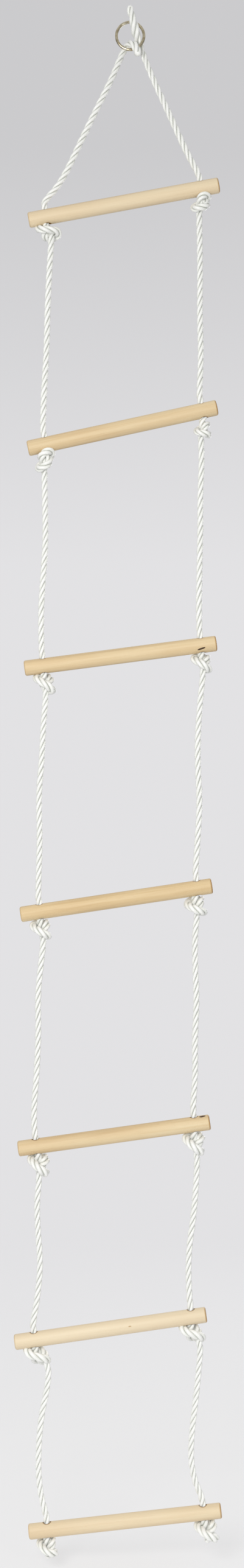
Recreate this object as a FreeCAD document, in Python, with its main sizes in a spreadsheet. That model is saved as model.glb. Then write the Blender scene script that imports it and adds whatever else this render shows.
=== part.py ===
import FreeCAD, Part
import math
import os

import Sketcher
from FreeCAD import Placement, Rotation, Vector

# Hanging rope ladder: a steel ring, a rope hitch on it, two rope sides and seven wooden rungs.
# Each rope side passes through a hole near the end of every rung and is knotted under it.
# Frame: millimetres, +Z up, origin at the centre of the ring, the ladder hangs in the plane y = 0,
# the rungs run along X. Left is -X and right is +X.

# ---------------------------------------------------------------- driving dimensions

SIZES = [
    ("ring_middle_radius", 21.3),
    ("ring_wire_radius", 2.2),
    ("rope_radius", 5.0),
    ("rung_radius", 12.0),
    ("rung_length", 300.0),
    ("rung_end_radius", 3.0),
    ("hole_radius", 5.7),
    ("hole_spacing", 245.0),
    ("free_gap", 0.3),
    ("bend_height", 12.0),
]

# One row per rung, from the top: middle of the rung (x, z) and its slope in degrees, right end up.
RUNGS = [
    (-10.0, -258.5, 10.4),
    (-12.0, -607.5, 12.2),
    (-15.0, -960.5, 7.4),
    (-21.5, -1339.0, 8.5),
    (-25.0, -1703.5, 7.9),
    (-30.5, -2002.5, 8.2),
    (-8.0, -2301.0, 6.3),
]

# How far each rung's holes lie to the right of their even places, from the top rung down.
HOLE_SHIFTS = {
    "left": [0.0, 1.3, 2.2, 3.5, 1.3, 4.0, 1.9],
    "right": [0.0, 4.5, 3.7, 4.8, 4.0, 4.9, 0.0],
}

# One row per knot, from the top: half width along the rung, half height, how far its middle lies
# to the right of the hole, and the bare rope between the rung and the knot.
KNOTS = {
    "left": [
        (18.4, 9.9, 0.0, 0.3),
        (16.4, 15.8, -6.3, 0.3),
        (17.4, 15.5, -2.2, 0.3),
        (16.5, 13.2, -4.5, 0.3),
        (17.9, 16.5, -1.3, 0.3),
        (21.2, 14.6, -0.3, 0.3),
        (16.0, 14.1, -4.4, 0.3),
    ],
    "right": [
        (17.4, 15.0, -5.0, 0.3),
        (14.6, 9.4, -8.2, 4.7),
        (16.5, 12.7, -3.7, 0.3),
        (17.4, 11.3, -8.8, 0.3),
        (17.9, 17.4, -6.6, 0.3),
        (20.3, 14.6, -3.1, 0.3),
        (19.8, 15.6, 1.0, 0.3),
    ],
}
KNOT_DEPTH_SHARE = 0.85
KNOT_ROOT_SHARE = 0.8
KNOT_ROOT_LEVEL = 0.3

# Rope routes as (x, z) points. The legs start at the hitches and the spans start under the knots;
# each route's last point, the bend above the next rung, follows from that rung's hole.
LEGS = {
    "left": [(-32.0, -74.0), (-53.0, -115.5), (-75.5, -161.5), (-97.5, -209.0), (-113.0, -236.0)],
    "right": [(38.5, -74.0), (56.5, -112.5), (78.5, -161.0), (91.5, -188.0)],
}
SPANS = {
    "left": [
        [(-122.5, -322.0), (-125.0, -360.0), (-128.0, -421.0), (-129.5, -487.0), (-133.5, -548.5)],
        [(-133.0, -683.5), (-132.0, -723.0), (-131.0, -784.0), (-135.0, -840.5), (-138.5, -892.5)],
        [(-131.0, -1028.0), (-134.5, -1064.0), (-137.0, -1121.0), (-142.0, -1180.0),
         (-140.0, -1241.5), (-141.5, -1293.5)],
        [(-134.5, -1402.0), (-138.0, -1435.0), (-143.5, -1486.5), (-142.0, -1543.0),
         (-145.0, -1609.0), (-149.5, -1661.0)],
        [(-141.0, -1773.0), (-145.0, -1807.5), (-143.0, -1854.5), (-139.0, -1901.5),
         (-143.5, -1953.5)],
        [(-126.0, -2068.5), (-129.0, -2097.0), (-137.0, -2132.5), (-142.0, -2179.5),
         (-142.5, -2231.5), (-137.5, -2266.5)],
    ],
    "right": [
        [(107.0, -286.5), (108.0, -317.5), (108.5, -374.0), (108.0, -435.0), (110.0, -501.0)],
        [(109.5, -624.5), (111.0, -659.5), (108.5, -713.5), (109.0, -765.0), (107.5, -822.0),
         (106.5, -873.5)],
        [(113.0, -990.0), (109.0, -1024.5), (105.0, -1076.5), (104.5, -1128.5), (108.0, -1185.0),
         (105.0, -1241.5)],
        [(103.5, -1364.0), (100.0, -1397.0), (101.0, -1449.0), (103.0, -1496.0), (100.0, -1552.5),
         (101.0, -1609.0)],
        [(104.0, -1741.0), (102.0, -1779.0), (98.5, -1826.0), (91.0, -1878.0), (90.0, -1920.5)],
        [(109.0, -2034.5), (106.0, -2066.5), (101.5, -2113.5), (95.5, -2161.0), (93.5, -2203.5),
         (99.5, -2238.0)],
    ],
}

# The rope ends tied to the ring, from the hinge point of each leg: both go up behind the ring's
# lower rim and in through the ring. The left one comes forward over the rim and ends in front of
# it, the right one leaves in front of the ring's top.
HITCHES = {
    "left": [(-18.0, 5.0, -40.0), (-13.5, 8.0, -28.5), (-9.0, 9.0, -18.0), (-2.5, 3.5, -9.0),
             (5.0, -6.0, -12.5), (10.0, -9.0, -22.5), (12.0, -8.0, -30.0)],
    "right": [(25.0, 5.0, -40.0), (20.5, 7.5, -27.0), (16.5, 9.0, -15.0), (11.0, 2.5, -3.5),
              (7.5, -6.5, 7.5), (4.5, -10.0, 20.0), (1.5, -9.5, 32.0), (-0.5, -8.0, 41.5)],
}

SIDES = {"left": -1.0, "right": 1.0}
ARC_SHARE = 0.45

doc = FreeCAD.newDocument("rope_ladder")
sheet = doc.addObject("Spreadsheet::Sheet", "Sizes")
for row, (alias, value) in enumerate(SIZES, start=1):
    sheet.set("A%d" % row, alias)
    sheet.set("B%d" % row, str(value))
    sheet.setAlias("B%d" % row, alias)
doc.recompute()


def size(alias):
    """A driving dimension, read from the sheet."""
    return float(sheet.get(alias))


# ---------------------------------------------------------------- places worked out from the sizes


def rung_axes(index):
    """Middle of a rung, its direction to the right and the direction of its holes, upwards."""
    x, z, slope = RUNGS[index]
    angle = math.radians(slope)
    along = Vector(math.cos(angle), 0, math.sin(angle))
    upward = Vector(-math.sin(angle), 0, math.cos(angle))
    return Vector(x, 0, z), along, upward


def hole_place(side, index):
    """How far along its rung a hole is, from the rung's middle to the right."""
    return SIDES[side] * size("hole_spacing") / 2 + HOLE_SHIFTS[side][index]


def hole_middle(side, index):
    middle, along, upward = rung_axes(index)
    return middle + along * hole_place(side, index)


def bend_point(side, index):
    """Where the rope bends above a rung: the rope's hinge point there."""
    middle, along, upward = rung_axes(index)
    return hole_middle(side, index) + upward * (size("rung_radius") + size("bend_height"))


def knot_middle(side, index):
    middle, along, upward = rung_axes(index)
    half_width, half_height, shift, bare = KNOTS[side][index]
    drop = size("rung_radius") + bare + half_height
    return hole_middle(side, index) + along * shift - upward * drop


def knot_root(side, index, place, level):
    """The point inside a knot, above or below its middle level, that is square to a place."""
    middle = knot_middle(side, index)
    along, upward = rung_axes(index)[1:]
    half_width, half_height, shift, bare = KNOTS[side][index]
    limit = KNOT_ROOT_SHARE * half_width
    offset = max(-limit, min(limit, (place - middle).dot(along)))
    return middle + along * offset + upward * (level * half_height)


def route_points(start, side, index):
    """A route's points in space, ending at the bend above the given rung."""
    points = [Vector(x, 0, z) for x, z in start]
    return points + [bend_point(side, index)]


# ---------------------------------------------------------------- builders


def primitive(kind, name, place, **sizes):
    """A Part primitive whose sizes are expressions on the sheet or plain numbers."""
    solid = doc.addObject("Part::" + kind, name)
    for prop, value in sizes.items():
        if isinstance(value, str):
            solid.setExpression(prop, value)
        else:
            setattr(solid, prop, value)
    solid.Placement = place
    return solid


def rope_rod(name, start, end):
    """A straight stretch of rope from one point to another."""
    line = end - start
    turn = Rotation(Vector(0, 0, 1), line)
    return primitive("Cylinder", name, Placement(start, turn),
                     Radius="Sizes.rope_radius", Height=line.Length)


def rope_ball(name, place):
    return primitive("Sphere", name, Placement(place, Rotation()), Radius="Sizes.rope_radius")


def fused(label, members):
    joined = doc.addObject("Part::MultiFuse", label)
    joined.Label = label
    joined.Shapes = members
    return joined


def rounded_path(points, first_gap, last_gap):
    """Straight runs joined by tangent arcs, with both ends cut back by their gaps."""
    points = list(points)
    points[0] = points[0] + (points[1] - points[0]).normalize() * first_gap
    points[-1] = points[-1] + (points[-2] - points[-1]).normalize() * last_gap
    edges = []
    radii = []
    here = points[0]
    for before, corner, after in zip(points, points[1:], points[2:]):
        run_in = (before - corner).Length
        run_out = (after - corner).Length
        toward = (before - corner).normalize()
        onward = (after - corner).normalize()
        turn = math.pi - toward.getAngle(onward)
        cut = ARC_SHARE * min(run_in, run_out)
        radii.append(cut / math.tan(turn / 2))
        arc_start = corner + toward * cut
        arc_end = corner + onward * cut
        bisector = (toward + onward).normalize()
        centre = corner + bisector * math.hypot(cut, radii[-1])
        arc_middle = centre - bisector * radii[-1]
        edges.append(Part.LineSegment(here, arc_start).toShape())
        edges.append(Part.Arc(arc_start, arc_middle, arc_end).toShape())
        here = arc_end
    edges.append(Part.LineSegment(here, points[-1]).toShape())
    return Part.Wire(edges), radii


def rope_tube(label, points, first_gap, last_gap):
    """A round rope along straight runs and tangent arcs."""
    path, radii = rounded_path(points, first_gap, last_gap)
    spine = doc.addObject("Part::Feature", label + "_spine")
    spine.Shape = path
    start_turn = Rotation(Vector(0, 0, 1), path.Edges[0].tangentAt(path.Edges[0].FirstParameter))
    section = doc.addObject("Part::Circle", label + "_section")
    section.setExpression("Radius", "Sizes.rope_radius")
    section.Placement = Placement(path.OrderedVertexes[0].Point, start_turn)
    tube = doc.addObject("Part::Sweep", label)
    tube.Label = label
    tube.Sections = [section]
    tube.Spine = (spine, ["Edge%d" % (n + 1) for n in range(len(path.Edges))])
    tube.Solid = True
    tube.Frenet = False
    doc.recompute()
    wanted = math.pi * size("rope_radius") ** 2 * path.Length
    print("%-18s length %7.1f mm  volume/section x length %.4f  radii %s" % (
        label, path.Length, tube.Shape.Volume / wanted, " ".join("%.0f" % r for r in radii)))
    return tube


# ---------------------------------------------------------------- ring and hitch


def make_ring():
    ring = primitive("Torus", "top_ring", Placement(Vector(), Rotation(Vector(1, 0, 0), 90)),
                     Radius1="Sizes.ring_middle_radius", Radius2="Sizes.ring_wire_radius")
    ring.Label = "top_ring"
    return ring


def make_hitch(side):
    """One rope's end on the ring, with its sealed tip and the rope that leads to the leg."""
    points = [Vector(*place) for place in HITCHES[side]]
    tube = rope_tube(side + "_hitch_tube", points, 0.0, 0.0)
    tip = rope_ball(side + "_hitch_tip", points[-1])
    ball = rope_ball(side + "_hitch_leave", points[0])
    return fused(side + "_hitch", [tube, tip, ball])


def make_leg(side):
    points = [Vector(*HITCHES[side][0])] + route_points(LEGS[side], side, 0)
    gap = size("rope_radius") + size("free_gap")
    return rope_tube(side + "_leg", points, gap, gap)


# ---------------------------------------------------------------- rungs, knots and spans


def plane_of(body, role):
    return [item for item in body.Origin.OriginFeatures if item.Role == role][0]


def sketch_on(body, name, role):
    sketch = body.newObject("Sketcher::SketchObject", name)
    sketch.AttachmentSupport = [(plane_of(body, role), "")]
    sketch.MapMode = "FlatFace"
    return sketch


def bound_circle(sketch, centre, radius_alias, name):
    """A circle held by its radius on the sheet and by its centre on the sketch's first axis."""
    alias_radius = size(radius_alias)
    index = sketch.addGeometry(Part.Circle(centre, Vector(0, 0, 1), alias_radius), False)
    rule = sketch.addConstraint(Sketcher.Constraint("Radius", index, alias_radius))
    sketch.renameConstraint(rule, name)
    sketch.setExpression("Constraints." + name, "Sizes." + radius_alias)
    return index


def make_rung(index):
    """A turned wooden rod with rounded ends and a hole near each end."""
    label = "rung_%d" % (index + 1)
    body = doc.addObject("PartDesign::Body", label)
    body.Label = label
    profile = sketch_on(body, label + "_profile", "YZ_Plane")
    bound_circle(profile, Vector(), "rung_radius", "profile_radius")
    rod = body.newObject("PartDesign::Pad", label + "_rod")
    rod.Profile = profile
    rod.Midplane = True
    rod.setExpression("Length", "Sizes.rung_length")
    doc.recompute()
    ends = ["Edge%d" % (n + 1) for n, edge in enumerate(rod.Shape.Edges)
            if isinstance(edge.Curve, Part.Circle)]
    rounding = body.newObject("PartDesign::Fillet", label + "_rounding")
    rounding.Base = (rod, ends)
    rounding.setExpression("Radius", "Sizes.rung_end_radius")
    holes = sketch_on(body, label + "_holes", "XY_Plane")
    for side, sign in SIDES.items():
        middle = Vector(hole_place(side, index), 0, 0)
        circle = bound_circle(holes, middle, "hole_radius", side + "_radius")
        across = holes.addConstraint(
            Sketcher.Constraint("DistanceX", -1, 1, circle, 3, middle.x))
        holes.renameConstraint(across, side + "_place")
        holes.setExpression("Constraints.%s_place" % side, "%d * Sizes.hole_spacing / 2 + %.1f" % (
            sign, HOLE_SHIFTS[side][index]))
    doc.recompute()
    solid_volume = rounding.Shape.Volume
    drilling = body.newObject("PartDesign::Pocket", label + "_drilling")
    drilling.Profile = holes
    drilling.Midplane = True
    drilling.Type = "ThroughAll"
    doc.recompute()
    if body.Shape.Volume > solid_volume - 1000:
        raise RuntimeError(label + " has no holes")
    middle, along, upward = rung_axes(index)
    body.Placement = Placement(middle, Rotation(Vector(0, 1, 0), -RUNGS[index][2]))
    return body


def make_knot(side, index):
    """The rope through a rung's hole and the knot under it, with the rope's start below."""
    label = "%s_knot_%d" % (side, index + 1)
    half_width, half_height, shift, bare = KNOTS[side][index]
    middle = knot_middle(side, index)
    turn = Rotation(Vector(0, 1, 0), -RUNGS[index][2]).multiply(Rotation(Vector(1, 0, 0), 90))
    bend = bend_point(side, index)
    foot = knot_root(side, index, bend, KNOT_ROOT_LEVEL)
    members = [
        rope_ball(label + "_bend", bend),
        rope_rod(label + "_through", bend, foot),
        primitive("Ellipsoid", label + "_bulk", Placement(middle, turn),
                  Radius1=half_width * KNOT_DEPTH_SHARE, Radius2=half_width,
                  Radius3=half_height, Angle1=-90, Angle2=90, Angle3=360),
    ]
    if index < len(RUNGS) - 1:
        x, z = SPANS[side][index][0]
        leave = Vector(x, 0, z)
        root = knot_root(side, index, leave, -KNOT_ROOT_LEVEL)
        members.append(rope_rod(label + "_under", root, leave))
        members.append(rope_ball(label + "_leave", leave))
    return fused(label, members)


def make_span(side, index):
    points = route_points(SPANS[side][index], side, index + 1)
    gap = size("rope_radius") + size("free_gap")
    return rope_tube("%s_span_%d" % (side, index + 1), points, gap, gap)


# ---------------------------------------------------------------- the whole ladder

pieces = [make_ring()]
pieces += [make_hitch(side) for side in SIDES]
pieces += [make_leg(side) for side in SIDES]
for number in range(len(RUNGS)):
    pieces.append(make_rung(number))
    pieces += [make_knot(side, number) for side in SIDES]
for number in range(len(RUNGS) - 1):
    pieces += [make_span(side, number) for side in SIDES]
doc.recompute()

for item in doc.Objects:
    if "Invalid" in item.State or "Error" in item.State:
        raise RuntimeError("%s failed: %s" % (item.Label, item.State))
for piece in pieces:
    if piece.Shape.isNull() or not piece.Shape.isValid():
        raise RuntimeError(piece.Label + " has no valid shape")
    if len(piece.Shape.Solids) != 1:
        raise RuntimeError("%s is %d solids" % (piece.Label, len(piece.Shape.Solids)))

os.makedirs("parts", exist_ok=True)
for piece in pieces:
    piece.Shape.exportStep("parts/%s.step" % piece.Label)
print("%d parts written" % len(pieces))
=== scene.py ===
import math

import bpy
import numpy as np
from mathutils import Matrix, Vector


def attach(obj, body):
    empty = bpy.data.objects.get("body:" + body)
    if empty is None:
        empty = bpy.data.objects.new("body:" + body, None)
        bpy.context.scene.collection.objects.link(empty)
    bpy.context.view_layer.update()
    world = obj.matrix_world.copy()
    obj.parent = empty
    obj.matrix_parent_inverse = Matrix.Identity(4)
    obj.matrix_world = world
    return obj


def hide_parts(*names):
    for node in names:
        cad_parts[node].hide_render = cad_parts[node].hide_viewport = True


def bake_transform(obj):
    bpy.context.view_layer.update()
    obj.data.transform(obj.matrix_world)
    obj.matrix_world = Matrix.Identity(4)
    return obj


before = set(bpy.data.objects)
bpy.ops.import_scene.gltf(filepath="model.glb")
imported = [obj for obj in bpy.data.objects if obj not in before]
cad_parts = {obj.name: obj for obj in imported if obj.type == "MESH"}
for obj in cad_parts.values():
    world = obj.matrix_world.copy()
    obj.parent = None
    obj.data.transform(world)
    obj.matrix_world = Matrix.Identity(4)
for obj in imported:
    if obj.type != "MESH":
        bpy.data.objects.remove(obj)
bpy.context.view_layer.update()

# Hanging rope ladder in metres: +Z up, origin at the ring's centre, the ladder in the plane y = 0,
# seen from -Y. Left is -X and right is +X.

RNG = np.random.default_rng(7)

# ---------------------------------------------------------------- camera

CAMERA_PLACE = (-0.0127, -3.374, -1.159)
camera_data = bpy.data.cameras.new("camera")
camera_data.lens = 50.0
camera_data.sensor_fit = "VERTICAL"
camera_data.sensor_height = 36.0
camera_data.dof.use_dof = False
camera = bpy.data.objects.new("camera", camera_data)
camera.location = CAMERA_PLACE
camera.rotation_euler = (math.radians(90), 0, 0)
bpy.context.scene.collection.objects.link(camera)
bpy.context.scene.camera = camera

# ---------------------------------------------------------------- sizes and routes, as in the CAD

ROPE = 0.010
RUNG_RADIUS = 0.012
HOLE_SPACING = 0.245
BEND_HEIGHT = 0.012
SIDES = {"left": -1.0, "right": 1.0}

# Middle of each rung (x, z) and its slope in degrees, right end up.
RUNGS = [
    (-0.0100, -0.2585, 10.4),
    (-0.0120, -0.6075, 12.2),
    (-0.0150, -0.9605, 7.4),
    (-0.0215, -1.3390, 8.5),
    (-0.0250, -1.7035, 7.9),
    (-0.0305, -2.0025, 8.2),
    (-0.0080, -2.3010, 6.3),
]

# How far each rung's holes lie to the right of their even places.
HOLE_SHIFTS = {
    "left": [0.0, 0.0013, 0.0022, 0.0035, 0.0013, 0.0040, 0.0019],
    "right": [0.0, 0.0045, 0.0037, 0.0048, 0.0040, 0.0049, 0.0],
}

# Each knot: half height, shift to the right of the hole, bare rope between rung and knot.
KNOTS = {
    "left": [
        (0.0099, 0.0000, 0.0003),
        (0.0158, -0.0063, 0.0003),
        (0.0155, -0.0022, 0.0003),
        (0.0132, -0.0045, 0.0003),
        (0.0165, -0.0013, 0.0003),
        (0.0146, -0.0003, 0.0003),
        (0.0141, -0.0044, 0.0003),
    ],
    "right": [
        (0.0150, -0.0050, 0.0003),
        (0.0094, -0.0082, 0.0047),
        (0.0127, -0.0037, 0.0003),
        (0.0113, -0.0088, 0.0003),
        (0.0174, -0.0066, 0.0003),
        (0.0146, -0.0031, 0.0003),
        (0.0156, 0.0010, 0.0003),
    ],
}

# How each knot sits: its turn about the rope and its lean in the ladder's plane, in degrees, its
# size, and how far it is pulled up round the rung.
KNOT_POSES = {
    "left": [(-20, 4, 1.06, 0.0040), (180, 14, 1.07, 0.0035), (30, -22, 1.10, 0.0015),
             (58, -14, 1.08, 0.0010), (52, -24, 1.15, 0.0010), (-8, -12, 1.18, 0.0035),
             (60, -6, 1.05, 0.0010)],
    "right": [(152, 6, 1.03, 0.0040), (92, -4, 0.95, 0.0000), (50, -18, 1.05, 0.0010),
              (66, -6, 1.12, 0.0010), (60, -22, 1.18, 0.0010), (-4, -12, 1.15, 0.0035),
              (50, -12, 1.18, 0.0010)],
}

LEGS = {
    "left": [(-0.0320, -0.0740), (-0.0530, -0.1155), (-0.0755, -0.1615), (-0.0975, -0.2090),
             (-0.1145, -0.2366)],
    "right": [(0.0385, -0.0740), (0.0565, -0.1125), (0.0785, -0.1610), (0.0915, -0.1880)],
}
SPANS = {
    "left": [
        [(-0.1225, -0.3220), (-0.1250, -0.3600), (-0.1280, -0.4210), (-0.1295, -0.4870),
         (-0.1335, -0.5485)],
        [(-0.1330, -0.6835), (-0.1320, -0.7230), (-0.1310, -0.7840), (-0.1350, -0.8405),
         (-0.1385, -0.8925)],
        [(-0.1310, -1.0280), (-0.1345, -1.0640), (-0.1370, -1.1210), (-0.1420, -1.1800),
         (-0.1400, -1.2415), (-0.1415, -1.2935)],
        [(-0.1345, -1.4020), (-0.1380, -1.4350), (-0.1435, -1.4865), (-0.1420, -1.5430),
         (-0.1450, -1.6090), (-0.1495, -1.6610)],
        [(-0.1410, -1.7730), (-0.1450, -1.8075), (-0.1430, -1.8545), (-0.1390, -1.9015),
         (-0.1435, -1.9535)],
        [(-0.1260, -2.0685), (-0.1290, -2.0970), (-0.1370, -2.1325), (-0.1420, -2.1795),
         (-0.1425, -2.2315), (-0.1375, -2.2665)],
    ],
    "right": [
        [(0.1070, -0.2865), (0.1080, -0.3175), (0.1085, -0.3740), (0.1080, -0.4350),
         (0.1100, -0.5010)],
        [(0.1095, -0.6245), (0.1110, -0.6595), (0.1085, -0.7135), (0.1090, -0.7650),
         (0.1075, -0.8220), (0.1065, -0.8735)],
        [(0.1130, -0.9900), (0.1090, -1.0245), (0.1050, -1.0765), (0.1045, -1.1285),
         (0.1080, -1.1850), (0.1050, -1.2415)],
        [(0.1035, -1.3640), (0.1000, -1.3970), (0.1010, -1.4490), (0.1030, -1.4960),
         (0.1000, -1.5525), (0.1010, -1.6090)],
        [(0.1040, -1.7410), (0.1020, -1.7790), (0.0985, -1.8260), (0.0910, -1.8780),
         (0.0900, -1.9205)],
        [(0.1090, -2.0345), (0.1060, -2.0665), (0.1015, -2.1135), (0.0955, -2.1610),
         (0.0935, -2.2035), (0.0995, -2.2380)],
    ],
}

# The rope ends on the ring, from the hinge point of each leg to the tip.
HITCHES = {
    "left": [(-0.0180, 0.0050, -0.0400), (-0.0135, 0.0080, -0.0285), (-0.0090, 0.0090, -0.0180),
             (-0.0025, 0.0035, -0.0108), (0.0050, -0.0060, -0.0140), (0.0100, -0.0090, -0.0225),
             (0.0120, -0.0080, -0.0300)],
    "right": [(0.0250, 0.0050, -0.0400), (0.0205, 0.0075, -0.0270), (0.0165, 0.0090, -0.0150),
              (0.0110, 0.0025, -0.0035), (0.0075, -0.0065, 0.0075), (0.0045, -0.0100, 0.0200),
              (0.0015, -0.0095, 0.0320), (-0.0005, -0.0080, 0.0415)],
}

# Half of an overhand knot's route in rope diameters, from the rope that enters it from above to
# the band across its front: (towards the back, along the rung, up). The other half is this one
# turned by half a turn about the first axis.
KNOT_HALF = [
    (0.00, 0.00, 1.90), (0.01, -0.03, 1.84), (-0.09, -0.23, 0.83), (0.45, -0.58, -0.04),
    (0.77, -0.44, -0.62), (1.09, 0.22, -0.91), (0.89, 1.09, -0.86), (0.15, 1.41, -0.68),
    (-0.49, 1.19, -0.38), (-0.78, 0.66, -0.14), (-0.74, 0.00, 0.00),
]
KNOT_HALF_HEIGHT = 1.38 * ROPE
END_LENGTH = 0.001

# Where a rope leans over as it enters a hole: how far to the right its bend above the rung lies.
BEND_SHIFTS = {("left", 0): 0.0008, ("right", 0): -0.0005}


def rung_axes(index):
    """Middle of a rung, its direction to the right and the direction of its holes, upwards."""
    x, z, slope = RUNGS[index]
    angle = math.radians(slope)
    along = Vector((math.cos(angle), 0, math.sin(angle)))
    upward = Vector((-math.sin(angle), 0, math.cos(angle)))
    return Vector((x, 0, z)), along, upward


def hole_place(side, index):
    """How far along its rung a hole is, from the rung's middle to the right."""
    return SIDES[side] * HOLE_SPACING / 2 + HOLE_SHIFTS[side][index]


def hole_middle(side, index):
    middle, along = rung_axes(index)[:2]
    return middle + along * hole_place(side, index)


def bend_point(side, index):
    along, upward = rung_axes(index)[1:]
    aside = BEND_SHIFTS.get((side, index), 0.0)
    return hole_middle(side, index) + upward * (RUNG_RADIUS + BEND_HEIGHT) + along * aside


def leave_point(side, index):
    """Where the rope hangs free below a knot; under the last rung, where it ends."""
    if index < len(RUNGS) - 1:
        x, z = SPANS[side][index][0]
        return Vector((x, 0, z))
    along, upward = rung_axes(index)[1:]
    half_height, shift, bare = KNOTS[side][index]
    drop = RUNG_RADIUS + bare + 2 * half_height + END_LENGTH
    return hole_middle(side, index) + along * shift - upward * drop


def knot_points(side, index):
    """The knot's own control points under its rung, ending where the rope hangs free."""
    along, upward = rung_axes(index)[1:]
    shift, bare = KNOTS[side][index][1:]
    turn, lean, scale, lift = KNOT_POSES[side][index]
    half = [Vector(p) for p in KNOT_HALF]
    whole = half + [Vector((p.x, -p.y, -p.z)) for p in reversed(half[2:-1])]
    spin = Matrix.Rotation(math.radians(turn), 3, "Z")
    sway = Matrix.Rotation(math.radians(lean), 3, "X")
    drop = RUNG_RADIUS + bare + scale * KNOT_HALF_HEIGHT - lift
    centre = hole_middle(side, index) - upward * drop
    leave = leave_point(side, index)
    places = []
    for number, point in enumerate(whole):
        inside = min(1.0, min(number, len(whole) - number) / 3.0)
        leaving = 1.0 - inside if number > len(whole) / 2 else 0.0
        local = point.lerp(sway @ spin @ point, inside) * (scale * ROPE)
        sideways = local.y + shift * inside + (leave - centre).dot(along) * leaving
        places.append(centre + Vector((0, local.x, 0)) + along * sideways + upward * local.z)
    return places + [leave]


def route(side):
    """The whole rope of one side as control points, from its tip on the ring."""
    points = [Vector(p) for p in reversed(HITCHES[side])]
    points += [Vector((x, 0, z)) for x, z in LEGS[side]]
    for index in range(len(RUNGS)):
        hole = hole_middle(side, index)
        upward = rung_axes(index)[2]
        points += [bend_point(side, index), hole + upward * RUNG_RADIUS, hole]
        points += knot_points(side, index)
        if index < len(RUNGS) - 1:
            points += [Vector((x, 0, z)) for x, z in SPANS[side][index][1:]]
    return points


# ---------------------------------------------------------------- rope centreline

LAY = 0.042
STEP = 0.0022
STRAND_RADIUS = 0.0025
STRAND_OFFSET = 0.00265
STRANDS = 3
ROUND = 20
SPLINE_RESOLUTION = 16
MELT_DEPTH = 0.0015
DOME_RINGS = 9
DOME_FULLNESS = 2.4
DOME_TIP = 0.00005
DOME_LUMPS = 0.08
CAP_GIRTH = 1.01
FIBRE_LENGTH = (0.0030, 0.0046)
FIBRE_RADIUS = 0.00038
FIBRE_RINGS = 6
FIBRE_SIDES = 5


def spline_points(points):
    """The points of a smooth NURBS spline that has these control points."""
    curve = bpy.data.curves.new("route", "CURVE")
    curve.dimensions = "3D"
    curve.resolution_u = SPLINE_RESOLUTION
    spline = curve.splines.new("NURBS")
    spline.points.add(len(points) - 1)
    for place, point in zip(spline.points, points):
        place.co = (*point, 1.0)
    spline.order_u = 3
    spline.use_endpoint_u = True
    holder = bpy.data.objects.new("route", curve)
    mesh = bpy.data.meshes.new_from_object(holder)
    found = np.array([v.co for v in mesh.vertices], float)
    bpy.data.objects.remove(holder)
    bpy.data.meshes.remove(mesh)
    bpy.data.curves.remove(curve)
    return found


class Centreline:
    """A rope's line at an even step, with frames that don't twist about it."""

    def __init__(self, points, step=STEP):
        raw = spline_points(points)
        run = np.r_[0, np.cumsum(np.linalg.norm(np.diff(raw, axis=0), axis=1))]
        count = int(round(run[-1] / step)) + 1
        self.along = np.linspace(0, run[-1], count)
        self.places = np.stack([np.interp(self.along, run, raw[:, k]) for k in range(3)], 1)
        self.tangents = np.gradient(self.places, axis=0)
        self.tangents /= np.linalg.norm(self.tangents, axis=1, keepdims=True)
        self.first = np.zeros_like(self.places)
        start = np.cross(self.tangents[0], (0.0, 1.0, 0.0))
        self.first[0] = start / np.linalg.norm(start)
        for k in range(count - 1):
            step_line = self.places[k + 1] - self.places[k]
            square = step_line @ step_line
            turned = self.first[k] - 2 / square * (step_line @ self.first[k]) * step_line
            tangent = self.tangents[k] - 2 / square * (step_line @ self.tangents[k]) * step_line
            change = self.tangents[k + 1] - tangent
            square = change @ change
            if square > 1e-16:
                turned = turned - 2 / square * (change @ turned) * change
            self.first[k + 1] = turned
        self.second = np.cross(self.tangents, self.first)

    def nearest(self, place, low=0, high=None):
        """The step nearest to a place, searched from one step to another."""
        gaps = np.linalg.norm(self.places[low:high] - np.array(place), axis=1)
        return low + int(np.argmin(gaps))


class Tube:
    """Rings of points with their normals, and each point's place on the strand's surface."""

    def __init__(self, places, normals, run, rise):
        self.places = places
        self.normals = normals
        self.run = run
        self.rise = rise


def tube_mesh(name, tubes):
    """One mesh of closed tubes, with UVs round and along each tube and smooth normals."""
    faces, uvs, normals = [], [], []
    base = 0
    for tube in tubes:
        rings, around = tube.places.shape[:2]
        k = np.arange(rings - 1)[:, None]
        j = np.arange(around)[None, :]
        n = (j + 1) % around
        corners = [(k, j, j), (k, n, j + 1), (k + 1, n, j + 1), (k + 1, j, j)]
        quads = np.stack([ring * around + point for ring, point, across in corners], -1)
        flat = quads.reshape(-1)
        faces += (quads.reshape(-1, 4) + base).tolist()
        across = np.stack([a + 0 * ring for ring, point, a in corners], -1).reshape(-1)
        uvs.append(np.stack([across / around, tube.run[flat // around]], 1))
        normals.append(tube.normals.reshape(-1, 3)[flat])
        for ring, turn in ((0, -1), (rings - 1, 1)):
            loop = (base + ring * around + np.arange(around))[::turn]
            faces.append(loop.tolist())
            uvs.append(np.tile((0.5, tube.run[ring]), (around, 1)))
            heading = tube.places[min(ring + 1, rings - 1)] - tube.places[max(ring - 1, 0)]
            facing = turn * heading.mean(0) / np.linalg.norm(heading.mean(0))
            normals.append(np.tile(facing, (around, 1)))
        base += rings * around
    mesh = bpy.data.meshes.new(name)
    mesh.from_pydata(np.vstack([t.places.reshape(-1, 3) for t in tubes]).tolist(), [], faces)
    layer = mesh.uv_layers.new(name="UVMap")
    layer.data.foreach_set("uv", np.vstack(uvs).astype(np.float32).ravel())
    # Each point's distance out from the rope's axis, which the rope material uses to paint shade
    # in the grooves.
    rises = np.concatenate([t.rise.ravel() for t in tubes])
    rise = mesh.attributes.new("rise", "FLOAT", "POINT")
    rise.data.foreach_set("value", rises.astype(np.float32))
    mesh.polygons.foreach_set("use_smooth", np.ones(len(faces), bool))
    mesh.normals_split_custom_set(np.vstack(normals).tolist())
    return mesh


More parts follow.
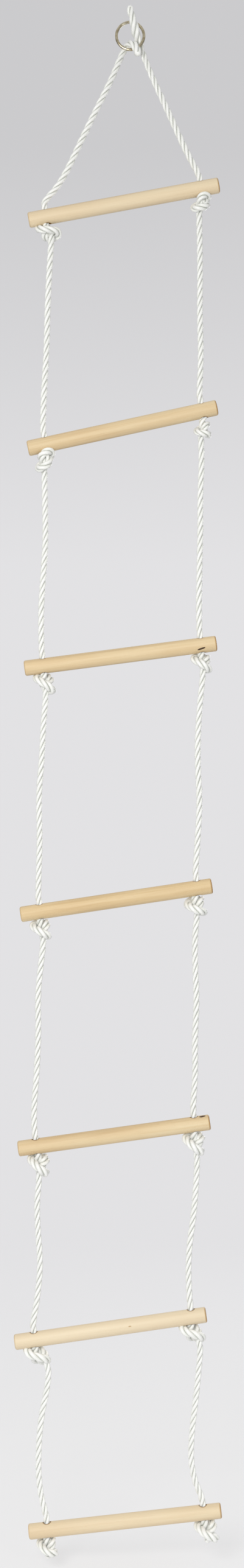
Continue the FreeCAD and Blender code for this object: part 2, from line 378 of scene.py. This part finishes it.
def dome(centre, outward, first, second, radius, length):
    """A melted rope end: rings that close over a short length, a little lumpy."""
    angles = np.arange(ROUND) / ROUND * 2 * math.pi
    lumps = 1 + DOME_LUMPS * np.sin(3 * angles + 0.7) + 0.5 * DOME_LUMPS * np.sin(5 * angles)
    around = np.outer(np.cos(angles), first) + np.outer(np.sin(angles), second)
    shares = np.linspace(0, 1, DOME_RINGS)
    widths = [radius * math.sqrt(max(0.0, 1 - share ** DOME_FULLNESS)) + DOME_TIP
              for share in shares]
    rings = np.array([centre + outward * (share * length) + around * (width * lumps)[:, None]
                      for share, width in zip(shares, widths)])
    normals = np.array([around * (1 - share ** 3) + outward * share ** 2 for share in shares])
    normals /= np.linalg.norm(normals, axis=2, keepdims=True)
    return Tube(rings, normals, shares * 0.5, np.ones((DOME_RINGS, ROUND)))


def frayed(centre, outward, first, second, radius, fibres):
    """Loose fibres that stand out of a rope end: thin, slightly curved tubes."""
    found = []
    for _ in range(fibres):
        angle = RNG.uniform(0, 2 * math.pi)
        away = first * math.cos(angle) + second * math.sin(angle)
        root = centre + away * (radius * RNG.uniform(0.2, 0.85))
        reach = RNG.uniform(*FIBRE_LENGTH)
        bend = away * RNG.uniform(0.1, 0.7) + first * RNG.normal(0, 0.25)
        share = np.linspace(0, 1, FIBRE_RINGS)
        middles = (root + outward * (share[:, None] * reach)
                   + bend * (share[:, None] ** 2 * reach * 0.8))
        turns = np.arange(FIBRE_SIDES) / FIBRE_SIDES * 2 * math.pi
        round_it = np.outer(np.cos(turns), first) + np.outer(np.sin(turns), second)
        widths = FIBRE_RADIUS * (1 - 0.7 * share)
        surface = middles[:, None] + round_it[None] * widths[:, None, None]
        normals = np.tile(round_it, (FIBRE_RINGS, 1, 1))
        if np.dot(np.cross(first, second), outward) < 0:
            surface, normals = surface[:, ::-1], normals[:, ::-1]
        found.append(Tube(surface, normals, share * 0.3, np.ones((FIBRE_RINGS, FIBRE_SIDES))))
    return found


def strands(name, line, first, last, caps=()):
    """A stretch of three-strand rope from one step of its line to another, as one object."""
    span = slice(first, last + 1)
    places, tangents = line.places[span], line.tangents[span]
    one, two = line.first[span], line.second[span]
    girth = line.girth[span][:, None]
    angles = np.arange(ROUND) / ROUND * 2 * math.pi + math.pi
    tubes = []
    for strand in range(STRANDS):
        phase = line.phase[span] + 2 * math.pi * strand / STRANDS
        outward = one * np.cos(phase)[:, None] + two * np.sin(phase)[:, None]
        around = -one * np.sin(phase)[:, None] + two * np.cos(phase)[:, None]
        heading = tangents + around * line.rate[span][:, None] * STRAND_OFFSET * girth
        heading /= np.linalg.norm(heading, axis=1, keepdims=True)
        side = np.cross(heading, outward)
        middle = places + outward * STRAND_OFFSET * girth
        thick = STRAND_RADIUS * girth * (1 + line.plump[strand][span][:, None])
        ring = (outward[:, None] * np.cos(angles)[None, :, None]
                + side[:, None] * np.sin(angles)[None, :, None])
        surface = middle[:, None] + ring * thick[:, None]
        away = np.linalg.norm(surface - places[:, None], axis=2)
        tubes.append(Tube(surface, ring, line.along[span] / (2 * math.pi * STRAND_RADIUS),
                          away / (STRAND_OFFSET + STRAND_RADIUS) / girth))
    for step, outward, length, fibres in caps:
        k = step - first
        radius = CAP_GIRTH * (STRAND_OFFSET + STRAND_RADIUS) * float(girth[k, 0])
        base = places[k] - tangents[k] * (outward * MELT_DEPTH)
        tubes.append(dome(base, tangents[k] * outward, one[k], two[k] * outward, radius,
                          length + MELT_DEPTH))
        tubes += frayed(places[k], tangents[k] * outward, one[k], two[k], radius, fibres)
    piece = bpy.data.objects.new(name, tube_mesh(name, tubes))
    bpy.context.scene.collection.objects.link(piece)
    return piece


def slow_noise(count, spacing, size):
    """Smooth random values along a rope."""
    knots = RNG.normal(0, size, count // spacing + 3)
    return np.interp(np.arange(count) / spacing, np.arange(len(knots)), knots)


# ---------------------------------------------------------------- ropes

UNDER_KNOT = 0.030
UNDER_HITCH = 0.035
KNOT_SEARCH = 0.100
KNOT_MARGIN = 0.012
KNOT_GIRTH = 1.13
# Slow random changes along a rope: (steps between values, size).
LAY_NOISE = (25, 0.05)
GIRTH_NOISE = (18, 0.012)
PLUMP_NOISE = (9, 0.015)
TAIL_FADE = 0.02
TAIL = {"left": 0.020, "right": 0.050}
TAIL_LAY = {"left": 0.042, "right": 0.048}
# How thick a rope is near its tip: (distance from the tip, girth).
TIP_GIRTH = {
    "left": [(0.0, 1.06), (0.004, 1.26), (0.010, 1.30), (0.020, 1.12), (0.032, 1.0)],
    "right": [(0.0, 0.92), (0.003, 1.08), (0.008, 1.18), (0.017, 1.05), (0.028, 1.32),
              (0.042, 1.38), (0.054, 1.12), (0.066, 1.0)],
}
KNOT_END_GIRTH = [(0.0, 0.80), (0.003, 1.0)]
TIP_LENGTH = {"left": 0.0042, "right": 0.0022}
KNOT_TIP_LENGTH = 0.0028
TIP_FIBRES = 8
START_PHASE = {"left": 0.4, "right": 2.2}


def steps(length):
    return int(round(length / STEP))


def rope_line(side):
    """One side's whole rope: its line, its twist and how thick it is."""
    line = Centreline(route(side))
    count = len(line.along)
    loose = np.clip(1 - (line.along - TAIL[side]) / TAIL_FADE, 0, 1)
    loose = loose * loose * (3 - 2 * loose)
    lay = LAY + (TAIL_LAY[side] - LAY) * loose
    lay = lay * (1 + slow_noise(count, *LAY_NOISE))
    line.rate = 2 * math.pi / lay
    line.phase = START_PHASE[side] + np.r_[0, np.cumsum(line.rate[:-1] * np.diff(line.along))]
    line.girth = np.interp(line.along, *zip(*TIP_GIRTH[side]))
    line.girth = line.girth + slow_noise(count, *GIRTH_NOISE)
    for index in range(len(RUNGS)):
        hole = line.nearest(hole_middle(side, index))
        if index < len(RUNGS) - 1:
            under = line.nearest(leave_point(side, index), hole + steps(KNOT_SEARCH))
        else:
            under = count + steps(KNOT_MARGIN)
        inside = np.minimum(np.arange(count) - hole, under - np.arange(count)) / steps(KNOT_MARGIN)
        inside = np.clip(inside - 1, 0, 1)
        line.girth += (KNOT_GIRTH * KNOT_POSES[side][index][2] - 1) * inside
    line.girth *= np.interp(line.along[-1] - line.along, *zip(*KNOT_END_GIRTH))
    line.plump = [slow_noise(count, *PLUMP_NOISE) for _ in range(STRANDS)]
    return line


rope_pieces = []
for side in SIDES:
    line = rope_line(side)
    last = len(line.along) - 1
    bend_at = line.nearest(HITCHES[side][0])
    parted = bend_at + steps(UNDER_HITCH)
    hitch = strands(side + "_rope_end", line, 0, parted,
                    caps=[(0, -1, TIP_LENGTH[side], TIP_FIBRES)])
    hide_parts(side + "_hitch")
    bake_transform(hitch)
    rope_pieces.append(hitch)
    above, above_name, carrier = parted, side + "_leg", "bridle"
    for index in range(len(RUNGS)):
        number = index + 1
        body = "knots_%d" % number
        hole = line.nearest(hole_middle(side, index))
        rope = strands(above_name + "_rope", line, above, hole)
        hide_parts(above_name)
        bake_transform(rope)
        if index < len(RUNGS) - 1:
            under = line.nearest(leave_point(side, index), hole + steps(KNOT_SEARCH))
            parted = under + steps(UNDER_KNOT)
            knot = strands("%s_tied_knot_%d" % (side, number), line, hole, parted)
            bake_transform(knot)
        else:
            knot = strands("%s_tied_knot_%d" % (side, number), line, hole, last,
                           caps=[(last, 1, KNOT_TIP_LENGTH, 0)])
            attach(knot, body)
        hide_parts("%s_knot_%d" % (side, number))
        rope_pieces += [rope, knot]
        above, above_name, carrier = parted, "%s_span_%d" % (side, number), "span_%d" % number
    print(side, "rope %.3f m" % line.along[-1])


# ---------------------------------------------------------------- materials


def set_stops(node, stops):
    """Gives a colour ramp its stops, each a place and a colour."""
    elements = node.color_ramp.elements
    while len(elements) < len(stops):
        elements.new(0.5)
    for element, (place, colour) in zip(elements, stops):
        element.position = place
        element.color = (*colour, 1.0)


class Nodes:
    """A material's node tree, with short calls to add and join nodes."""

    def __init__(self, name):
        self.material = bpy.data.materials.new(name)
        self.material.use_nodes = True
        self.tree = self.material.node_tree
        self.tree.nodes.clear()
        self.shader = self.add("ShaderNodeBsdfPrincipled")
        output = self.add("ShaderNodeOutputMaterial")
        self.join(self.shader, "BSDF", output, "Surface")

    def add(self, kind, **settings):
        node = self.tree.nodes.new(kind)
        for key, value in settings.items():
            setattr(node, key, value)
        return node

    def join(self, source, out, target, into):
        self.tree.links.new(source.outputs[out], target.inputs[into])

    def math(self, operation, *values):
        """A Math node; each value is a number or a (node, output) pair."""
        node = self.add("ShaderNodeMath", operation=operation)
        for slot, value in enumerate(values):
            if isinstance(value, tuple):
                self.tree.links.new(value[0].outputs[value[1]], node.inputs[slot])
            else:
                node.inputs[slot].default_value = value
        return (node, 0)

    def noise(self, vector, scale, detail=3.0, roughness=0.5):
        node = self.add("ShaderNodeTexNoise")
        node.inputs["Scale"].default_value = scale
        node.inputs["Detail"].default_value = detail
        node.inputs["Roughness"].default_value = roughness
        self.tree.links.new(vector[0].outputs[vector[1]], node.inputs["Vector"])
        return (node, 0)

    def scaled(self, vector, scale, location=(0, 0, 0), rotation=(0, 0, 0), kind="POINT"):
        node = self.add("ShaderNodeMapping", vector_type=kind)
        node.inputs["Scale"].default_value = scale
        node.inputs["Location"].default_value = location
        node.inputs["Rotation"].default_value = rotation
        self.tree.links.new(vector[0].outputs[vector[1]], node.inputs["Vector"])
        return (node, 0)

    def ramp(self, value, stops):
        node = self.add("ShaderNodeValToRGB")
        set_stops(node, stops)
        self.tree.links.new(value[0].outputs[value[1]], node.inputs["Fac"])
        return (node, 0)

    def mix(self, kind, amount, one, two):
        """Mixes two colours, each a colour or a (node, output) pair."""
        node = self.add("ShaderNodeMix", data_type="RGBA", blend_type=kind)
        for slot, value in ((0, amount), (6, one), (7, two)):
            if isinstance(value, tuple) and not isinstance(value[0], float):
                self.tree.links.new(value[0].outputs[value[1]], node.inputs[slot])
            elif slot:
                node.inputs[slot].default_value = (*value, 1.0)
            else:
                node.inputs[slot].default_value = value
        return (node, 2)

    def limits(self, value, low, high, to_low=0.0, to_high=1.0):
        node = self.add("ShaderNodeMapRange")
        for slot, number in zip((1, 2, 3, 4), (low, high, to_low, to_high)):
            node.inputs[slot].default_value = number
        self.tree.links.new(value[0].outputs[value[1]], node.inputs[0])
        return (node, 0)

    def bump(self, height, strength, distance, below=None):
        node = self.add("ShaderNodeBump")
        node.inputs["Strength"].default_value = strength
        node.inputs["Distance"].default_value = distance
        self.tree.links.new(height[0].outputs[height[1]], node.inputs["Height"])
        if below:
            self.tree.links.new(below[0].outputs[0], node.inputs["Normal"])
        return (node, 0)

    def feed(self, source, into):
        self.tree.links.new(source[0].outputs[source[1]], self.shader.inputs[into])

    def fixed(self, **numbers):
        for key, value in numbers.items():
            self.shader.inputs[key.replace("_", " ")].default_value = value


YARNS = 13
YARN_SLANT = 0.6


def rope_material():
    """Glossy white synthetic yarns laid along each strand, with painted shade greying the grooves
    down between the strands.
    """
    n = Nodes("rope_white")
    uv = (n.add("ShaderNodeTexCoord"), "UV")
    parts = n.add("ShaderNodeSeparateXYZ")
    n.tree.links.new(uv[0].outputs["UV"], parts.inputs[0])
    slant = n.math("MULTIPLY", (parts, 1), YARN_SLANT)
    across = n.math("ADD", (parts, 0), slant)
    join = n.add("ShaderNodeCombineXYZ")
    n.tree.links.new(across[0].outputs[0], join.inputs[0])
    n.tree.links.new(parts.outputs[1], join.inputs[1])
    wobble = n.noise(n.scaled((join, 0), (6.0, 1.2, 1.0)), 1.0)
    shifted = n.math("ADD", n.math("MULTIPLY", across, float(YARNS)),
                     n.math("MULTIPLY", wobble, 0.7))
    ridge = n.math("ABSOLUTE", n.math("SINE", n.math("MULTIPLY", shifted, math.pi)))
    fibres = n.noise(n.scaled((join, 0), (70.0, 2.2, 1.0)), 1.0, 4.0, 0.6)
    patches = n.noise(n.scaled((join, 0), (2.0, 0.7, 1.0)), 1.0)
    height = n.math("ADD", n.math("MULTIPLY", ridge, 0.6), n.math("MULTIPLY", fibres, 0.5))
    depth = n.add("ShaderNodeAttribute", attribute_name="rise")
    groove_shade_mask = n.limits((depth, 2), 0.45, 0.98)
    tone = n.ramp(fibres, [(0.25, (0.83, 0.84, 0.805)), (0.5, (0.93, 0.935, 0.915)),
                           (0.75, (0.98, 0.98, 0.965))])
    tone = n.mix("MULTIPLY", 0.5, tone, n.ramp(patches, [(0.3, (0.88, 0.89, 0.85)),
                                                         (0.65, (1.0, 1.0, 1.0))]))
    # Painted shade in the grooves between the strands: dark grey where the surface lies nearest
    # the rope's axis.
    tone = n.mix("MULTIPLY", 1.0, tone, n.ramp(groove_shade_mask, [(0.0, (0.34, 0.355, 0.31)),
                                                           (0.5, (0.88, 0.89, 0.865)),
                                                           (0.85, (1.0, 1.0, 1.0))]))
    n.feed(tone, "Base Color")
    n.feed(n.limits(fibres, 0.2, 0.8, 0.24, 0.42), "Roughness")
    n.feed(n.bump(height, 0.55, 0.0004), "Normal")
    n.fixed(Specular_IOR_Level=0.6, Sheen_Weight=0.15, Sheen_Roughness=0.4)
    return n.material


# Small natural marks on the fronts of three rungs: place along the rung, height, tilt in degrees,
# half length, half height and colour.
MARKS = {
    2: (0.1253, -0.0057, 11.8, 0.0060, 0.0012, (0.07, 0.04, 0.02)),
    4: (0.1396, 0.0112, 3.0, 0.0050, 0.0010, (0.10, 0.055, 0.025)),
    5: (0.0304, 0.0018, 0.0, 0.0026, 0.0008, (0.66, 0.54, 0.40)),
}
HOLE_RADIUS = 0.0057
RUNG_END = 0.150
END_ROUNDING = 0.003


def hole_shade_and_rims(n, index, along, depth, fine):
    """Painted shade down inside the rope holes, fading out through brown round their mouths."""
    squares = []
    for side in SIDES:
        aside = n.math("SUBTRACT", along, hole_place(side, index))
        squares.append(n.math("ADD", n.math("MULTIPLY", aside, aside),
                              n.math("MULTIPLY", depth, depth)))
    gap = n.math("ADD", n.math("SQRT", n.math("MINIMUM", *squares)),
                 n.math("MULTIPLY", fine, 0.0012))
    # The darkest brown, on the hole walls, is painted shade; it fades out round each mouth.
    return n.ramp(n.limits(gap, HOLE_RADIUS, HOLE_RADIUS + 0.0028),
                  [(0.0, (0.30, 0.20, 0.11)), (0.45, (0.50, 0.37, 0.23)), (0.75, (1.0, 1.0, 1.0))])


def end_grain_and_right_shade(n, along, fine):
    """Browner end grain on the rounded ends, and painted shade that darkens the right end further,
    the side turned from the key light.
    """
    reach = n.math("ADD", along, n.math("MULTIPLY", fine, 0.0012))
    # The right end is darker still: painted shade on the side away from the key light.
    right = n.ramp(n.limits(reach, RUNG_END - END_ROUNDING + 0.0008, RUNG_END),
                   [(0.15, (1.0, 1.0, 1.0)), (0.4, (0.80, 0.68, 0.50)), (0.9, (0.62, 0.46, 0.29))])
    back = n.math("MULTIPLY", reach, -1.0)
    left = n.ramp(n.limits(back, RUNG_END - END_ROUNDING, RUNG_END),
                  [(0.15, (1.0, 1.0, 1.0)), (0.5, (0.93, 0.87, 0.77))])
    return n.mix("MULTIPLY", 1.0, right, left)


def small_mark(n, along, depth, up, fine, place, height, tilt, half_length, half_height, colour):
    """A slit or pin knot on the front of a rung."""
    turn = math.radians(tilt)
    a = n.math("SUBTRACT", along, place)
    u = n.math("SUBTRACT", up, height)
    run = n.math("ADD", n.math("MULTIPLY", a, math.cos(turn) / half_length),
                 n.math("MULTIPLY", u, math.sin(turn) / half_length))
    rise = n.math("ADD", n.math("MULTIPLY", a, -math.sin(turn) / half_height),
                  n.math("MULTIPLY", u, math.cos(turn) / half_height))
    reach = n.math("ADD", n.math("MULTIPLY", run, run), n.math("MULTIPLY", rise, rise))
    behind = n.limits(depth, -0.003, 0.0, 0.0, 4.0)
    ragged = n.math("MULTIPLY", n.math("SUBTRACT", fine, 0.5), 2.4)
    return n.ramp(n.limits(n.math("ADD", n.math("ADD", reach, behind), ragged), 0.45, 1.3),
                  [(0.0, colour), (0.5, colour), (1.0, (1.0, 1.0, 1.0))])


# How much paler and creamier than plain wood each rung is.
PALENESS = [0.42, 0.10, 0.08, 0.0, 0.08, 0.55, 0.38]
CREAM = (0.80, 0.70, 0.54)


def wood_material(index):
    """Pale sanded hardwood with fine grain along the rung and darker end grain, with painted shade
    inside the holes and on the right ends.
    """
    n = Nodes("wood_rung_%d" % (index + 1))
    x, z, slope = RUNGS[index]
    place = (n.add("ShaderNodeTexCoord"), "Object")
    own = n.scaled(place, (1, 1, 1), (x, 0, z), (0, -math.radians(slope), 0), "TEXTURE")
    split = n.add("ShaderNodeSeparateXYZ")
    n.tree.links.new(own[0].outputs[0], split.inputs[0])
    shifted = n.scaled(own, (1, 1, 1), (0.37 * index, 0.11 * index, 0.07 * index))
    broad = n.noise(n.scaled(shifted, (2.5, 60.0, 60.0)), 1.0, 4.0, 0.55)
    fine = n.noise(n.scaled(shifted, (14.0, 700.0, 700.0)), 1.0, 3.0, 0.6)
    flecks = n.noise(n.scaled(shifted, (90.0, 1500.0, 1500.0)), 1.0, 2.0, 0.5)
    cloud = n.noise(n.scaled(shifted, (9.0, 25.0, 25.0)), 1.0, 2.0, 0.5)
    tone = n.ramp(broad, [(0.25, (0.56, 0.405, 0.215)), (0.45, (0.70, 0.545, 0.32)),
                          (0.62, (0.75, 0.61, 0.38)), (0.8, (0.79, 0.675, 0.455))])
    tone = n.mix("MULTIPLY", 0.5, tone, n.ramp(fine, [(0.3, (0.88, 0.80, 0.68)),
                                                      (0.6, (1.0, 1.0, 1.0))]))
    tone = n.mix("MULTIPLY", 0.25, tone, n.ramp(flecks, [(0.28, (0.62, 0.50, 0.38)),
                                                         (0.36, (1.0, 1.0, 1.0))]))
    tone = n.mix("MULTIPLY", 0.6, tone, n.ramp(cloud, [(0.3, (0.95, 0.88, 0.80)),
                                                       (0.7, (1.0, 1.0, 1.0))]))
    tone = n.mix("MIX", PALENESS[index], tone, CREAM)
    along, depth, up = (split, 0), (split, 1), (split, 2)
    # Painted shade inside the rope holes.
    tone = n.mix("MULTIPLY", 1.0, tone, hole_shade_and_rims(n, index, along, depth, fine))
    # Browner end grain, with painted shade darkening the right ends more.
    tone = n.mix("MULTIPLY", 1.0, tone, end_grain_and_right_shade(n, along, fine))
    if index in MARKS:
        tone = n.mix("MULTIPLY", 1.0, tone, small_mark(n, along, depth, up, fine, *MARKS[index]))
    n.feed(tone, "Base Color")
    n.feed(n.limits(fine, 0.3, 0.7, 0.42, 0.6), "Roughness")
    n.feed(n.bump(fine, 0.25, 0.0003), "Normal")
    n.fixed(Specular_IOR_Level=0.4)
    return n.material


def ring_material():
    """Polished nickel-plated wire of a warm tint, with fine wear."""
    n = Nodes("ring_nickel")
    place = (n.add("ShaderNodeTexCoord"), "Object")
    wear = n.noise(n.scaled(place, (180.0, 180.0, 180.0)), 1.0, 5.0, 0.65)
    tone = n.ramp(wear, [(0.35, (0.40, 0.33, 0.20)), (0.5, (0.58, 0.51, 0.36)),
                         (0.7, (0.74, 0.68, 0.53))])
    n.feed(tone, "Base Color")
    n.feed(n.limits(wear, 0.3, 0.75, 0.24, 0.08), "Roughness")
    n.feed(n.bump(wear, 0.08, 0.0002), "Normal")
    n.fixed(Metallic=1.0)
    return n.material


def floor_material():
    """Pale matt floor that fades out round the ladder, so no edge of it shows."""
    n = Nodes("floor_pale")
    reach = n.add("ShaderNodeVectorMath", operation="LENGTH")
    place = n.add("ShaderNodeTexCoord").outputs["Object"]
    n.tree.links.new(place, reach.inputs[0])
    n.feed(n.limits((reach, "Value"), FLOOR_SOLID, FLOOR_RADIUS, 1.0, 0.0), "Alpha")
    n.fixed(Base_Color=(0.40, 0.40, 0.405, 1.0), Roughness=0.9,
            Emission_Color=(1.0, 0.995, 1.0, 1.0), Emission_Strength=0.44)
    return n.material


rope_look = rope_material()
for piece in rope_pieces:
    piece.data.materials.append(rope_look)
for index in range(len(RUNGS)):
    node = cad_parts["rung_%d" % (index + 1)]
    look = wood_material(index)
    for place in node.material_slots:
        place.material = look
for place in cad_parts["top_ring"].material_slots:
    place.material = ring_material()

# ---------------------------------------------------------------- floor, lights

FLOOR_LEVEL = -2.378
FLOOR_SOLID = 0.7
FLOOR_RADIUS = 2.4
FLOOR_SIDES = 64
disc = bpy.data.meshes.new("floor")
turns = np.arange(FLOOR_SIDES) / FLOOR_SIDES * 2 * math.pi
disc.from_pydata([(FLOOR_RADIUS * math.cos(t), FLOOR_RADIUS * math.sin(t), 0) for t in turns], [],
                 [list(range(FLOOR_SIDES))])
floor = bpy.data.objects.new("floor", disc)
floor.location = (0, 0, FLOOR_LEVEL)
bpy.context.scene.collection.objects.link(floor)
disc.materials.append(floor_material())


def area_light(name, place, aim, width, height, power, colour=(1.0, 1.0, 1.0)):
    data = bpy.data.lights.new(name, "AREA")
    data.shape = "RECTANGLE"
    data.size = width
    data.size_y = height
    data.energy = power
    data.color = colour
    lamp = bpy.data.objects.new(name, data)
    lamp.location = place
    lamp.rotation_euler = (Vector(aim) - Vector(place)).to_track_quat("-Z", "Y").to_euler()
    bpy.context.scene.collection.objects.link(lamp)


area_light("key", (-0.8, -2.6, -0.7), (0, 0, -1.35), 1.2, 1.2, 47.0, (1.0, 0.99, 0.97))
area_light("fill", (1.5, -2.9, -1.3), (0, 0, -1.6), 0.8, 0.8, 9.0, (0.98, 0.99, 1.0))
area_light("back", (1.3, 2.9, -0.7), (0, 0, -1.3), 1.0, 1.6, 22.0)

# Soft studio light from all round, strongest from above. The camera sees a pale backdrop, darker
# towards its top.
LIGHT_LEVEL = 0.66
LIGHT_STOPS = [(0.0, 0.62), (0.42, 0.50), (0.5, 0.42), (0.62, 0.92), (1.0, 1.0)]
BACKDROP_STOPS = [(0.55, (0.765, 0.76, 0.775)), (0.64, (0.60, 0.597, 0.61))]
world = bpy.data.worlds.new("studio")
world.use_nodes = True
tree = world.node_tree
coordinates = tree.nodes.new("ShaderNodeTexCoord")
heading = tree.nodes.new("ShaderNodeSeparateXYZ")
height = tree.nodes.new("ShaderNodeMapRange")
height.inputs["From Min"].default_value = -1.0
path = tree.nodes.new("ShaderNodeLightPath")
chosen = tree.nodes.new("ShaderNodeMixShader")
tree.links.new(coordinates.outputs["Generated"], heading.inputs[0])
tree.links.new(heading.outputs["Z"], height.inputs["Value"])
tree.links.new(path.outputs["Is Camera Ray"], chosen.inputs["Fac"])
light_colours = [(place, (level, level, level)) for place, level in LIGHT_STOPS]
for slot, strength, stops in ((1, LIGHT_LEVEL, light_colours), (2, 1.0, BACKDROP_STOPS)):
    shade = tree.nodes.new("ShaderNodeValToRGB")
    set_stops(shade, stops)
    source = tree.nodes.new("ShaderNodeBackground")
    source.inputs["Strength"].default_value = strength
    tree.links.new(height.outputs["Result"], shade.inputs["Fac"])
    tree.links.new(shade.outputs["Color"], source.inputs["Color"])
    tree.links.new(source.outputs["Background"], chosen.inputs[slot])
tree.links.new(chosen.outputs["Shader"], tree.nodes["World Output"].inputs["Surface"])
bpy.context.scene.world = world
bpy.context.scene.view_settings.view_transform = "Standard"
